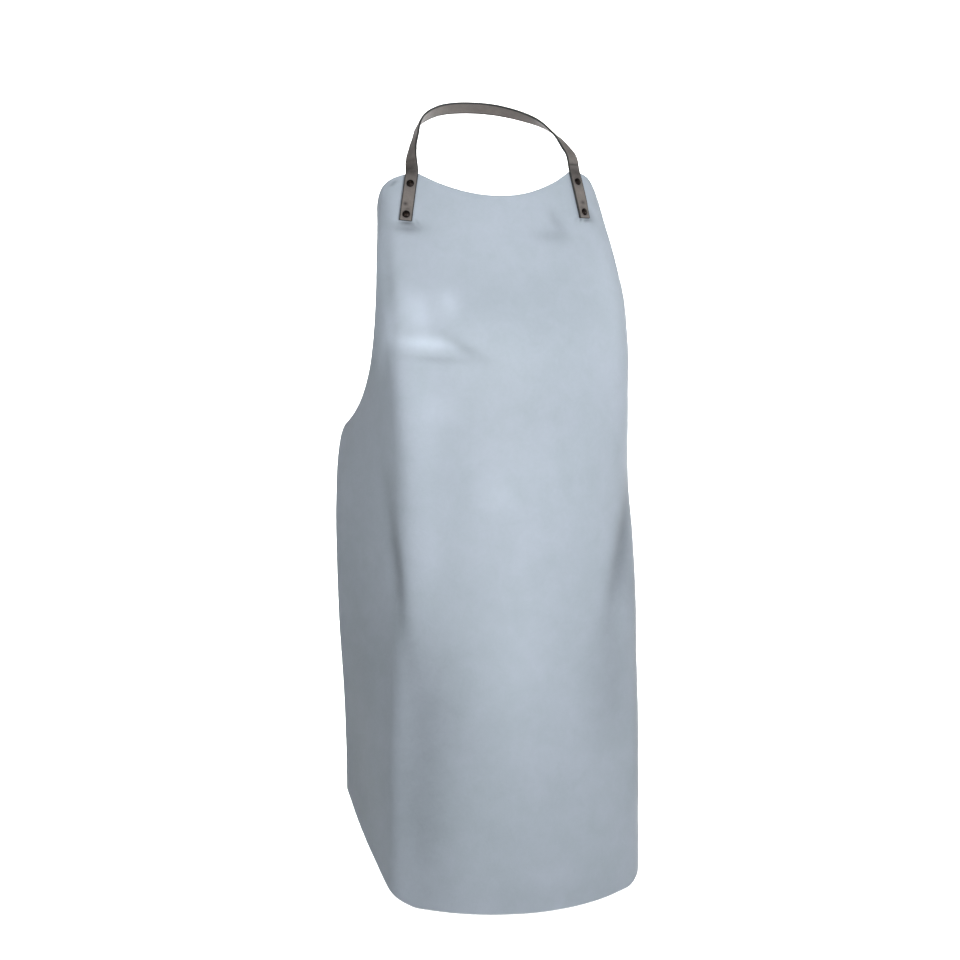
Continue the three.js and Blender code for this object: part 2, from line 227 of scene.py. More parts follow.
# Round lamps. width is across the lamp, power in watts and spread in degrees.
LAMP_COLUMNS = ("name", "place", "target", "width", "power", "spread")
CHEST = (0.0, -0.12, -0.3)
LAMPS = [
    # Soft light on the apron, from the front at chest height, from lower and from each side
    ("front_light", (0.03, -1.18, 0.02), CHEST, 0.6, 8.8, 180),
    ("low_light", (0.0, -1.5, -0.62), (0.0, -0.16, -0.6), 0.8, 2.5, 180),
    ("left_light", (-0.75, -0.87, -0.02), CHEST, 0.6, 1.8, 180),
    ("right_light", (1.05, -0.3, -0.02), CHEST, 0.6, 2.2, 180),
    # The wall and the floor in front of it, which the lamps light past the apron
    ("wall_light", (2.6, 2.4, 2.8), (2.9, 6.0, -0.4), 2.0, 330, 125),
    ("floor_light", (1.5, 2.6, 2.2), (1.5, 2.6, FLOOR_LEVEL), 1.6, 110, 90),
]

# Sky: its strength at the horizon and overhead, and how high it comes to the second
SKY_AT_HORIZON = 0.306
SKY_OVERHEAD = 0.33
SKY_RISE = 0.3


def smooth_step(value, low=0.0, high=1.0):
    t = np.clip((value - low) / (high - low), 0, 1)
    return t * t * (3 - 2 * t)


def mix(a, b, share):
    return a + (b - a) * share


def unit(vectors):
    return vectors / np.linalg.norm(vectors, axis=-1, keepdims=True)


def table_rows(columns, table):
    """Each row of a table by the names of its columns."""
    return [dict(zip(columns, row)) for row in table]


def column_curve(name):
    """A smooth curve through one column of the bend table. It never swings past the values."""
    rows = table_rows(BEND_COLUMNS, BEND_TABLE)
    places = np.array([row["along"] for row in rows])
    values = np.array([row[name] for row in rows], float)
    grades = np.diff(values) / np.diff(places)
    slopes = np.zeros(len(values))
    slopes[0] = grades[0]
    slopes[-1] = grades[-1]
    for i, (before, after) in enumerate(zip(grades, grades[1:]), start=1):
        if before * after > 0:
            slopes[i] = 2 * before * after / (before + after)

    def curve(along):
        i = np.clip(np.searchsorted(places, along) - 1, 0, len(places) - 2)
        span = places[i + 1] - places[i]
        t = np.clip((along - places[i]) / span, 0, 1)
        leaving = span * slopes[i] * t * (1 - t) ** 2
        arriving = span * slopes[i + 1] * t * t * (t - 1)
        return mix(values[i], values[i + 1], smooth_step(t)) + leaving + arriving

    return curve


bend = {name: column_curve(name) for name in BEND_COLUMNS[1:]}

# The centre line, walked once from a little above the bib's corners to below the hem.
centre_steps = round(SHEET_LENGTH / CENTRE_STEP) + CENTRE_SPARE
centre_down = np.arange(-CENTRE_SPARE, centre_steps + 1) * CENTRE_STEP
centre_back = bend["lean"](centre_down / SHEET_LENGTH) * BIB_LEAN
centre_falls = np.sqrt(CENTRE_STEP**2 - np.diff(centre_back) ** 2)
centre_drop = np.concatenate([[0], np.cumsum(centre_falls)])
centre_drop -= np.interp(0, centre_down, centre_drop)


def smooth_point(across, down):
    """The bent sheet without its dents."""
    along = down / SHEET_LENGTH
    reach = np.abs(across)
    ridge = np.where(across < 0, LEFT_RIDGE_LENGTH, RIGHT_RIDGE_LENGTH)
    front = bend["front"](along) * HALF_WIDTH
    bow, turn, flare = [bend[name](along) for name in ("bow", "turn", "flare")]
    step = reach / ROW_STEPS
    x = np.zeros_like(reach)
    y = np.zeros_like(reach)
    for i in range(ROW_STEPS):
        at = (i + 0.5) * step
        angle = bow * np.minimum(at / front, 1)
        angle += turn * smooth_step(at, front - ridge / 2, front + ridge / 2)
        angle += flare * np.maximum((at - front) / FLARE_LENGTH, 0)
        angle = np.radians(angle)
        x += np.cos(angle) * step
        y += np.sin(angle) * step
    back = np.interp(down, centre_down, centre_back)
    drop = np.interp(down, centre_down, centre_drop)
    return np.stack([np.sign(across) * x, back + y, -drop], -1)


def facing(surface, across, down):
    """The direction that a bent surface faces, away from the wearer."""
    right = surface(across + FACING_NUDGE, down) - surface(across - FACING_NUDGE, down)
    below = surface(across, down + FACING_NUDGE) - surface(across, down - FACING_NUDGE)
    return unit(np.cross(below, right))


def bumps(columns, table, across, down):
    """The sum of a table's soft bumps at each place, one for each row. The last column
    says how strong each bump is."""
    total = np.zeros_like(across)
    for row in table_rows(columns, table):
        x = across - row["across"] * HALF_WIDTH
        y = down - row["down"] * SHEET_LENGTH
        tilt = math.radians(row["tilt"])
        reach = row["reach"] * HALF_WIDTH
        lengthwise = (x * math.cos(tilt) + y * math.sin(tilt)) / reach
        sideways = (y * math.cos(tilt) - x * math.sin(tilt)) / (reach * row["narrow"])
        total += row[columns[-1]] * np.exp(-(lengthwise**2) - sideways**2)
    return total


# The hide is never quite even: a few long shallow waves run across it in all directions.
WAVE_COUNT = 14
WAVE_HEIGHT = 0.00013
WAVE_LENGTHS = (0.035, 0.13)
wave_draw = np.random.default_rng(11)
wave_angles = wave_draw.uniform(0, math.pi, WAVE_COUNT)
wave_lengths = wave_draw.uniform(*WAVE_LENGTHS, WAVE_COUNT)
wave_starts = wave_draw.uniform(0, 2 * math.pi, WAVE_COUNT)


def unevenness(across, down):
    """The height of the long waves. A shorter wave is lower."""
    total = np.zeros_like(across)
    for angle, length, start in zip(wave_angles, wave_lengths, wave_starts):
        along = across * math.cos(angle) + down * math.sin(angle)
        total += (length / WAVE_LENGTHS[1]) * np.sin(2 * math.pi * along / length + start)
    return total * WAVE_HEIGHT


def relief(across, down):
    """How far the dents, folds and unevenness lift the sheet."""
    dents = bumps(DENT_COLUMNS, DENT_TABLE + SMALL_DENT_TABLE, across, down)
    return dents * DENT_DEPTH + unevenness(across, down)


def sheet_point(across, down):
    """The outer face of the sheet."""
    lift = relief(across, down)[..., None]
    return smooth_point(across, down) + facing(smooth_point, across, down) * lift


def sheet_facing(across, down):
    return facing(sheet_point, across, down)


def bezier(controls):
    """Points on a Bezier curve with any number of control points."""
    t = np.linspace(0, 1, CURVE_POINTS)[:, None]
    points = [np.array(control, float) for control in controls]
    while len(points) > 1:
        points = [mix(a, b, t) for a, b in zip(points, points[1:])]
    return points[0]


def bib_corner(start, end):
    """A stretch of the bib's rounded corner, between two angles in degrees."""
    angle = np.radians(np.linspace(start, end, CURVE_POINTS))
    across = NECKLINE_HALF_WIDTH + (BIB_HALF_WIDTH - NECKLINE_HALF_WIDTH) * np.cos(angle)
    return np.stack([across, BIB_CORNER_DROP * (1 + np.sin(angle))], -1)


def top_edge():
    """The right half of the bib's top edge: the neckline and the upper half of the corner."""
    middle = (0, NECKLINE_DIP)
    pull = (NECKLINE_HALF_WIDTH / 2, NECKLINE_DIP)
    end = (NECKLINE_HALF_WIDTH, 0)
    return np.concatenate([bezier([middle, pull, end]), bib_corner(-90, -45)])


def side_edge():
    """The right edge: the lower half of the bib's corner, the armhole, the side."""
    start = np.array([BIB_HALF_WIDTH, BIB_CORNER_DROP])
    corner = np.array([HALF_WIDTH, ARMHOLE_DEPTH])
    first, second = [start + (corner - start) * control for control in ARMHOLE_CONTROLS]
    arriving = (corner - second) / np.linalg.norm(corner - second)
    armhole_end = corner - arriving * ARMHOLE_CORNER_ROUND
    side_start = (HALF_WIDTH, ARMHOLE_DEPTH + ARMHOLE_CORNER_ROUND)
    side_end = (HALF_WIDTH, SHEET_LENGTH - LOWER_CORNER_CUT)
    return np.concatenate([
        bib_corner(-45, 0),
        bezier([start, first, second, armhole_end]),
        bezier([armhole_end, corner, side_start]),
        bezier([side_start, side_end]),
    ])


def on_path(points, share):
    """The places at given shares of a path's length."""
    lengths = np.linalg.norm(np.diff(points, axis=0), axis=1)
    places = np.concatenate([[0], np.cumsum(lengths)]) / lengths.sum()
    return np.stack([np.interp(share, places, points[:, axis]) for axis in (0, 1)], -1)


def hem_down(across):
    """How far down the hem is, with its cut corners."""
    reach = np.abs(across)
    rise = HEM_RISE * np.minimum(reach / HEM_HALF_WIDTH, 1) ** 2
    corner = np.clip((reach - HEM_HALF_WIDTH) / (HALF_WIDTH - HEM_HALF_WIDTH), 0, 1)
    return SHEET_LENGTH - rise - (LOWER_CORNER_CUT - HEM_RISE) * corner**LOWER_CORNER_BEND


def lines_with_edges(count, size):
    """Shares from 0 to 1 with extra lines close to the ends, and each line's distance in."""
    close = np.array(EDGE_LINES) / size
    inner = np.linspace(0, 1, count)[1:-1]
    shares = np.concatenate([close, inner, 1 - close[::-1]])
    distances = np.minimum(shares, 1 - shares) * size
    return shares, distances


def flat_pattern():
    """The flat sheet as a grid, blended between its four edges, with each point's distance
    from the nearest cut edge."""
    across_shares, across_in = lines_with_edges(COLUMNS, SHEET_WIDTH)
    down_shares, down_in = lines_with_edges(ROWS, SHEET_LENGTH)
    signed = across_shares * 2 - 1
    share = np.abs(signed)[None, :]
    level = down_shares[:, None]
    top, side = top_edge(), side_edge()
    top_corner = top[-1]
    bottom_corner = side[-1]
    above = on_path(top, share)
    below = share * HALF_WIDTH
    outer = on_path(side, level)
    across = mix(above[..., 0], below, level)
    across = across + share * (outer[..., 0] - mix(top_corner[0], bottom_corner[0], level))
    down = mix(above[..., 1], hem_down(below), level)
    down = down + outer[..., 1] - mix(top_corner[1], bottom_corner[1], level)
    distance = np.minimum(across_in[None, :], down_in[:, None])
    return across * np.sign(signed), down, distance


def flat_area(across, down):
    """The area inside the pattern's outline."""
    back = slice(None, None, -1)
    rim = [(slice(None), 0), (-1, slice(None)), (back, -1), (0, back)]
    x = np.concatenate([across[part] for part in rim])
    y = np.concatenate([down[part] for part in rim])
    return abs(np.sum(x * np.roll(y, -1) - y * np.roll(x, -1))) / 2


def grid_quads(rows, columns, start=0, wrap=False):
    """The faces of a grid of points, facing out where rows run down and columns right."""
    quad_columns = columns if wrap else columns - 1
    j, i = np.meshgrid(np.arange(rows - 1), np.arange(quad_columns), indexing="ij")
    beside = (i + 1) % columns
    row, next_row = j * columns, (j + 1) * columns
    corners = [row + i, next_row + i, next_row + beside, row + beside]
    return np.stack([corner.ravel() for corner in corners], -1) + start


def new_mesh(name, points, faces, materials, attributes=None, face_materials=None):
    """A smooth-shaded object, with one value of each attribute at each point."""
    mesh = bpy.data.meshes.new(name)
    mesh.from_pydata(np.asarray(points).tolist(), [], [list(map(int, face)) for face in faces])
    for attribute, values in (attributes or {}).items():
        values = np.asarray(values, np.float32)
        kind = "FLOAT" if values.ndim == 1 else "FLOAT_VECTOR"
        slot = "value" if values.ndim == 1 else "vector"
        mesh.attributes.new(attribute, kind, "POINT").data.foreach_set(slot, values.ravel())
    for material in materials:
        mesh.materials.append(material)
    if face_materials is not None:
        mesh.polygons.foreach_set("material_index", np.asarray(face_materials, np.int32))
    mesh.shade_smooth()
    mesh.validate()
    piece = bpy.data.objects.new(name, mesh)
    bpy.context.scene.collection.objects.link(piece)
    return piece


def edge_drop(distance):
    """How far a face sinks towards the middle of the leather, close to its cut edge."""
    inside = np.clip(EDGE_ROUND - distance, 0, EDGE_ROUND)
    return EDGE_ROUND - np.sqrt(EDGE_ROUND**2 - inside**2)


# Painted light and shade in the colour of the sheet, with one real nick. across and reach are
# shares of half its width, down of its length and narrow of reach. change is a share of the
# brightness.
TONE_COLUMNS = ("across", "down", "reach", "narrow", "tilt", "change")
PAINTED_LIGHT_SHADE_AND_MARK_TABLE = [
    # The skirt below the belly: painted shade beside its middle, painted light down the middle
    (-0.45, 0.822, 0.6, 0.22, 90, -0.24),
    (0.36, 0.689, 0.267, 0.45, 95, -0.18),
    (-0.4, 0.711, 0.267, 0.5, 60, -0.09),
    (-0.067, 0.656, 0.367, 0.35, 92, 0.08),
    (0, 0.98, 0.667, 0.1, 0, -0.05),
    (0.55, 0.678, 0.533, 0.08, 90, -0.2),
    (0.6, 0.76, 0.5, 0.3, 90, -0.08),
    # Painted shade in the slanting fold at the right hip
    (0.457, 0.52, 0.267, 0.22, 111, -0.42),
    (0.5, 0.583, 0.133, 0.5, 90, -0.15),
    # Painted shade on the left side panel and in the groove beside its ridge, painted light near
    # the ridge's top
    (-0.56, 0.536, 0.3, 0.12, 80.5, -0.37),
    (-0.917, 0.856, 0.3, 0.5, 60, -0.16),
    (-0.833, 0.689, 0.4, 0.5, 90, -0.11),
    (-0.633, 0.778, 0.5, 0.1, 90, -0.05),
    (-0.573, 0.239, 0.133, 0.25, 115, 0.2),
    # Painted light on the front beside the left ridge, with painted shade above it
    (-0.493, 0.156, 0.25, 0.1, 95, -0.2),
    (-0.44, 0.367, 0.367, 0.2, 90, 0.17),
    (-0.427, 0.522, 0.233, 0.3, 90, 0.07),
    # The chest: painted light on its swellings, painted shade in the crease and under it
    (-0.407, 0.196, 0.093, 0.6, 90, 0.26),
    (-0.28, 0.184, 0.067, 0.6, 90, 0.2),
    (-0.393, 0.24, 0.12, 0.24, 3, 0.36),
    (-0.257, 0.243, 0.087, 0.26, 33, -0.22),
    (-0.36, 0.262, 0.13, 0.1, 3, -0.14),
    (-0.373, 0.331, 0.08, 0.8, 0, 0.08),
    (-0.153, 0.441, 0.08, 0.8, 0, 0.07),
    (-0.033, 0.333, 0.3, 0.6, 0, -0.08),
    (0.1, 0.228, 0.3, 0.5, 80, -0.03),
    (0.467, 0.167, 0.3, 0.4, 90, 0.1),
    # Round the ends of the strap: painted shadow below each end, painted shade in the dents
    # beside them, painted light at the bib's left corner, and a dark nick
    (-0.393, 0.076, 0.057, 0.35, 0, -0.42),
    (0.233, 0.069, 0.06, 0.45, 60, -0.16),
    (0.193, 0.089, 0.073, 0.35, 5, -0.14),
    (0.403, 0.062, 0.04, 0.55, 40, -0.34),
    (-0.5, 0.024, 0.047, 0.7, 0, 0.17),
    (-0.393, 0.0685, 0.034, 0.14, 0, -0.6),
    (0.372, 0.0685, 0.034, 0.14, 0, -0.6),
    (-0.43, 0.015, 0.02, 0.3, -32, -0.4),
]


def make_sheet(pattern, face_leather, back_leather):
    """The bent sheet: an outer and an inner face with a band of cut edge between them."""
    across, down, distance = pattern
    drop = edge_drop(distance)[..., None]
    out = sheet_facing(across, down)
    outer = sheet_point(across, down) - out * drop
    inner = outer - out * (SHEET_THICKNESS - 2 * drop)
    rows, columns = across.shape
    count = rows * columns
    front_faces = grid_quads(rows, columns)
    back_faces = grid_quads(rows, columns, count)[:, ::-1]
    numbers = np.arange(count).reshape(rows, columns)
    left, bottom = numbers[:, 0], numbers[-1, 1:]
    right, top = numbers[-2::-1, -1], numbers[0, -2:0:-1]
    rim = np.concatenate([left, bottom, right, top])
    ahead = np.roll(rim, -1)
    band = np.stack([rim, rim + count, ahead + count, ahead], -1)
    # Painted light and shade, with one nick, on the outer face only
    painted_light_shade_and_marks = bumps(TONE_COLUMNS, PAINTED_LIGHT_SHADE_AND_MARK_TABLE, across, down).ravel()
    return new_mesh(
        "apron_sheet",
        np.concatenate([outer.reshape(-1, 3), inner.reshape(-1, 3)]) - origin,
        np.concatenate([front_faces, band, back_faces]),
        [face_leather, back_leather],
        {
            "painted_light_shade_and_marks": np.concatenate([painted_light_shade_and_marks, np.zeros_like(painted_light_shade_and_marks)]),
            "edge": np.tile(distance.ravel(), 2),
        },
        [0] * (len(front_faces) + len(band)) + [1] * len(back_faces),
    )


def strap_across(side, down):
    """Where the strap's centre line crosses a level of the bib."""
    return side * (STRAP_HALF_SPAN + STRAP_SPREAD[side] * down)


def face_direction(side, turn, lift):
    """A direction turned outwards from the front and lifted, by angles in degrees."""
    turn, lift = math.radians(turn), math.radians(lift)
    level = math.cos(lift)
    return np.array([side * math.sin(turn) * level, -math.cos(turn) * level, math.sin(lift)])


def strap_half(side):
    """Places and faces of the strap from its end on the bib up to the last before the nape."""
    down = STRAP_OVERLAP * (1 - np.arange(BIB_STOPS + 1) / BIB_STOPS)
    across = strap_across(side, down)
    faces = list(sheet_facing(across, down))
    lift = RESTING_GAP + STRAP_THICKNESS / 2
    centres = list(sheet_point(across, down) + np.array(faces) * lift)
    leaving = centres[-1]
    name = "left" if side < 0 else "right"
    for row in table_rows(ROUTE_COLUMNS, STRAP_ROUTE):
        centres.append(np.array([
            side * row["out"] * STRAP_HALF_SPAN,
            leaving[1] + row["back"] * NAPE_BEHIND,
            leaving[2] + row["up"] * NAPE_RISE,
        ]))
        faces.append(face_direction(side, row[name + "_turn"], row[name + "_lift"]))
    return centres, faces, leaving


def spline(stops, places):
    """A smooth centripetal curve through the stops. Its places run from 0 to 1, with equal
    shares from stop to stop."""
    stops = np.array(stops)
    ends = [2 * stops[0] - stops[1], 2 * stops[-1] - stops[-2]]
    padded = np.concatenate([[ends[0]], stops, [ends[1]]])
    gaps = np.linalg.norm(np.diff(padded, axis=0), axis=1) ** 0.5
    last = len(stops) - 2
    at = np.clip(places, 0, 1) * (last + 1)
    i = np.minimum(at.astype(int), last)
    t = (at - i)[:, None]
    p0, p1, p2, p3 = [padded[i + k] for k in range(4)]
    g0, g1, g2 = [gaps[i + k][:, None] for k in range(3)]
    leaving = ((p1 - p0) / g0 - (p2 - p0) / (g0 + g1) + (p2 - p1) / g1) * g1
    arriving = ((p2 - p1) / g1 - (p3 - p1) / (g1 + g2) + (p3 - p2) / g2) * g1
    ease = smooth_step(t)
    return mix(p1, p2, ease) + leaving * t * (1 - t) ** 2 + arriving * t * t * (t - 1)


left_centres, left_faces, leaving = strap_half(-1)
right_centres, right_faces, _ = strap_half(1)
nape_centre = np.array([0, leaving[1] + NAPE_BEHIND, leaving[2] + NAPE_RISE])
nape_face = face_direction(1, NAPE_TURN, NAPE_LIFT)
origin = nape_centre - nape_face * STRAP_THICKNESS / 2


def strap_section():
    """The strap's section as (sideways, out, edge): a flat band with rounded corners."""
    half_depth = STRAP_THICKNESS / 2
    flat_width = STRAP_WIDTH / 2 - STRAP_CORNER_ROUND
    flat_depth = half_depth - STRAP_CORNER_ROUND
    points = []
    for side, level, start in ((1, 1, 90), (1, -1, 0), (-1, -1, -90), (-1, 1, -180)):
        for k in range(SECTION_CORNER_STEPS + 1):
            angle = math.radians(start - 90 * k / SECTION_CORNER_STEPS)
            x = side * flat_width + STRAP_CORNER_ROUND * math.cos(angle)
            y = level * flat_depth + STRAP_CORNER_ROUND * math.sin(angle)
            points.append((x, y, 1.0))
        if start == 0:
            inner = np.linspace(flat_width, -flat_width, SECTION_INNER_STEPS + 1)[1:-1]
            points += [(x, -half_depth, 0.0) for x in inner]
    outer = np.linspace(-flat_width, flat_width, SECTION_OUTER_STEPS + 1)[1:-1]
    points += [(x, half_depth, 0.0) for x in outer]
    return np.array(points)


# Painted shade and scuffs in the strap's colour, on its left (-1) or right (1) half. across is
# measured from the strap's middle and from_end from its end. wide and long say how far each
# patch reaches.
STRAP_TONE_COLUMNS = ("side", "across", "from_end", "wide", "long", "change")
STRAP_SHADE_AND_MARK_TABLE = [
    # The darker bend above the upper rivet, with a line of painted shade in the crease where it
    # starts
    (-1, 0, 0.0645, 0.02, 0.0115, -0.72),
    (-1, 0, 0.0755, 0.02, 0.002, -0.2),
    (-1, 0, 0.115, 0.02, 0.03, 0.15),
    (1, 0, 0.0585, 0.02, 0.0088, -0.58),
    (1, 0, 0.0678, 0.02, 0.0013, -0.5),
    # Scuffs above the lower rivet
    (-1, 0.0025, 0.0205, 0.0026, 0.002, -0.8),
    (-1, -0.001, 0.0145, 0.003, 0.0013, -0.35),
    (1, 0.001, 0.0195, 0.0035, 0.0025, -0.55),
    (1, -0.002, 0.0135, 0.0035, 0.0015, -0.25),
    (1, 0.002, 0.031, 0.004, 0.003, 0.12),
    # Painted shade round each rivet head
    (-1, 0, 0.0075, 0.0062, 0.0062, -0.3),
    (-1, 0, 0.0455, 0.0062, 0.0062, -0.3),
    (1, 0, 0.0075, 0.0062, 0.0062, -0.3),
    (1, 0, 0.0455, 0.0062, 0.0062, -0.3),
]


def strap_shade_and_marks(side, across, from_end):
    """The sum of the strap's patches of painted shade and scuffs at each place."""
    total = np.zeros_like(across)
    for row in table_rows(STRAP_TONE_COLUMNS, STRAP_SHADE_AND_MARK_TABLE):
        x = (across - row["across"]) / row["wide"]
        y = (from_end - row["from_end"]) / row["long"]
        total += np.where(side == row["side"], row["change"] * np.exp(-(x**2) - y**2), 0)
    return total


def strap_rings(path_stops):
    """Each ring's distance along the strap, with more rings at its ends, each ring's place
    on the curve, and the strap's length."""
    fine = np.linspace(0, 1, STRAP_PATH_POINTS)
    steps = np.linalg.norm(np.diff(spline(path_stops, fine), axis=0), axis=1)
    run = np.concatenate([[0], np.cumsum(steps)])
    total = run[-1]
    close = np.array(STRAP_END_LINES)
    inner = np.linspace(0, total, STRAP_RINGS)[1:-1]
    along = np.concatenate([close, inner, total - close[::-1]])
    return along, np.interp(along, run, fine), total


def make_strap(leather):
    """The strap: its section swept along the curve, with closed and rounded ends."""
    path_stops = left_centres + [nape_centre] + right_centres[::-1]
    face_stops = left_faces + [nape_face] + right_faces[::-1]
    along, places, total = strap_rings(path_stops)
    before = spline(path_stops, np.maximum(places - STRAP_NUDGE, 0))
    after = spline(path_stops, np.minimum(places + STRAP_NUDGE, 1))
    ahead = unit(after - before)
    sideways = unit(np.cross(spline(face_stops, places), ahead))
    out = np.cross(ahead, sideways)
    end_in = np.minimum(along, total - along)
    shrink = edge_drop(end_in)
    widening = STRAP_WIDENING * smooth_step(along / total, *STRAP_WIDENING_SPAN)
    width_scale = 1 + widening - shrink / (STRAP_WIDTH / 2)
    depth_scale = 1 - shrink / (STRAP_THICKNESS / 2)
    section_across, section_depth, section_edge = strap_section().T
    across = section_across * width_scale[:, None]
    depth = section_depth * depth_scale[:, None]
    centres = spline(path_stops, places)[:, None]
    points = centres + sideways[:, None] * across[..., None] + out[:, None] * depth[..., None]
    rings, ring_size = across.shape
    faces = grid_quads(rings, ring_size, wrap=True).tolist()
    faces.append(list(range(ring_size)))
    faces.append(list(range((rings - 1) * ring_size, rings * ring_size))[::-1])
    run_along = np.broadcast_to(along[:, None], across.shape)
    from_end = np.broadcast_to(end_in[:, None], across.shape)
    side = np.where(run_along < total / 2, -1, 1)
    at_end = from_end < EDGE_LINES[-1]
    return new_mesh(
        "strap_band",
        points.reshape(-1, 3) - origin,
        faces,
        [leather],
        {
            "flat": np.stack([across, run_along, from_end], -1).reshape(-1, 3),
            # Where the painted edge shade goes: the section's rounded corners and the strap's
            # ends
            "edge": np.where(at_end, 1.0, section_edge).ravel(),
            # Painted shade round the rivets and in the bend's crease, with the scuffs
            "painted_light_shade_and_marks": strap_shade_and_marks(side, across, from_end).ravel(),
        },
    )


def rivet_profile():
    """A rivet's outline from the cap behind the sheet to the crown, as (radius, height)."""
    cap_top = -SHEET_THICKNESS - RESTING_GAP
    cap_foot = cap_top - RIVET_CAP_HEIGHT
    outline = [(0, cap_foot), (RIVET_CAP_RADIUS - RIVET_EDGE_ROUND, cap_foot)]
    for angle in np.radians(RIVET_CAP_ANGLES):
        radius = RIVET_CAP_RADIUS - RIVET_EDGE_ROUND * (1 - math.sin(angle))
        outline.append((radius, cap_foot + RIVET_EDGE_ROUND * (1 - math.cos(angle))))
    outline += [
        (RIVET_CAP_RADIUS, cap_top),
        (RIVET_SHANK_RADIUS, cap_top),
        (RIVET_SHANK_RADIUS, RIVET_SEAT),
        (RIVET_HEAD_RADIUS - RIVET_EDGE_ROUND, RIVET_SEAT),
        (RIVET_HEAD_RADIUS, RIVET_SEAT + RIVET_EDGE_ROUND),
    ]
    for angle in np.radians(np.linspace(0, 90, RIVET_DOME_ROWS + 1)[:-1]):
        radius = RIVET_DOME_RADIUS * math.cos(angle) ** RIVET_DOME_BULGE
        rise = (RIVET_HEAD_HEIGHT - RIVET_DOME_START) * math.sin(angle)
        outline.append((radius, RIVET_SEAT + RIVET_DOME_START + rise))
    outline.append((0, RIVET_SEAT + RIVET_HEAD_HEIGHT))
    return outline


def make_rivet(name, side, down, metal):
    """A rivet turned from its outline and set square to the sheet, at its row of the strap."""
    (_, foot), *rings, (_, top) = rivet_profile()
    across, down = np.array([strap_across(side, down)]), np.array([down])
    square = Vector(sheet_facing(across, down)[0]).to_track_quat("Z", "Y")
    place = Matrix.Translation(Vector(sheet_point(across, down)[0] - origin))
    place = place @ square.to_matrix().to_4x4()
    angles = np.linspace(0, 2 * math.pi, RIVET_SIDES, endpoint=False)
    points = [(0, 0, foot)]
    for radius, height in rings:
        points += [(radius * math.cos(a), radius * math.sin(a), height) for a in angles]
    points.append((0, 0, top))
    around = [(i, (i + 1) % RIVET_SIDES) for i in range(RIVET_SIDES)]
    starts = [1 + ring * RIVET_SIDES for ring in range(len(rings))]
    faces = [(0, 1 + j, 1 + i) for i, j in around]
    for low, high in zip(starts, starts[1:]):
        faces += [(low + i, low + j, high + j, high + i) for i, j in around]
    faces += [(starts[-1] + i, starts[-1] + j, len(points) - 1) for i, j in around]
    heights = np.array([height for _, _, height in points])
    crown = np.clip((heights - RIVET_SEAT) / RIVET_HEAD_HEIGHT, 0, 1)
    placed = [tuple(place @ Vector(point)) for point in points]
    return new_mesh(name + "_metal", placed, faces, [metal], {"crown": crown})


class Shader:
    """A material and short ways to add nodes to it."""

    def __init__(self, name):
        self.material = bpy.data.materials.new(name)
        self.material.use_nodes = True
        self.tree = self.material.node_tree
        self.tree.nodes.clear()
        self.surface = self.add("BsdfPrincipled", {})
        self.add("OutputMaterial", {"Surface": self.surface.outputs[0]})

    def set_inputs(self, node, inputs):
        """Links each input to a socket, or gives it a value."""
        for key, value in inputs.items():
            if isinstance(value, bpy.types.NodeSocket):
                self.tree.links.new(value, node.inputs[key])
            else:
                node.inputs[key].default_value = value

    def add(self, kind, inputs, **settings):
        node = self.tree.nodes.new("ShaderNode" + kind)
        for key, value in settings.items():
            setattr(node, key, value)
        self.set_inputs(node, inputs)
        return node

    def finish(self, inputs):
        self.set_inputs(self.surface, inputs)
        return self.material

    def place(self):
        return self.add("TexCoord", {}).outputs["Object"]

    def attribute(self, name, output="Fac"):
        return self.add("Attribute", {}, attribute_name=name).outputs[output]

    def noise(self, vector, scale, detail, roughness, distortion=0.0):
        node = self.add("TexNoise", {
            "Vector": vector,
            "Scale": scale,
            "Detail": detail,
            "Roughness": roughness,
            "Distortion": distortion,
        })
        return node.outputs[0]

    def maths(self, operation, a, b, c=0.0):
        return self.add("Math", {0: a, 1: b, 2: c}, operation=operation).outputs[0]

    def times(self, value, factor):
        return self.maths("MULTIPLY", value, factor)

    def total(self, *parts):
        value = parts[0]
        for part in parts[1:]:
            value = self.maths("ADD", value, part)
        return value

    def swing(self, value, size):
        """A noise between 0 and 1 turned into a change between -size and size."""
        return self.maths("MULTIPLY_ADD", value, 2 * size, -size)

    def remap(self, value, low, high, to_low=0.0, to_high=1.0):
        """A value eased from one range to another."""
        inputs = {0: value, 1: low, 2: high, 3: to_low, 4: to_high}
        return self.add("MapRange", inputs, interpolation_type="SMOOTHSTEP").outputs[0]

    def blend(self, share, first, second):
        """One colour blended into another. Each is a socket or (red, green, blue)."""
        ends = [
            end if isinstance(end, bpy.types.NodeSocket) else (*end, 1.0)
            for end in (first, second)
        ]
        node = self.add("Mix", {}, data_type="RGBA")
        self.set_inputs(node, {0: share, 6: ends[0], 7: ends[1]})
        return node.outputs[2]

    def shaded(self, colour, shade):
        node = self.add("VectorMath", {0: colour, "Scale": shade}, operation="SCALE")
        return node.outputs[0]

    def stretched(self, vector, factors):
        return self.add("VectorMath", {0: vector, 1: factors}, operation="MULTIPLY").outputs[0]

    def bump(self, height, strength, distance):
        inputs = {"Strength": strength, "Distance": distance, "Height": height}
        return self.add("Bump", inputs).outputs[0]


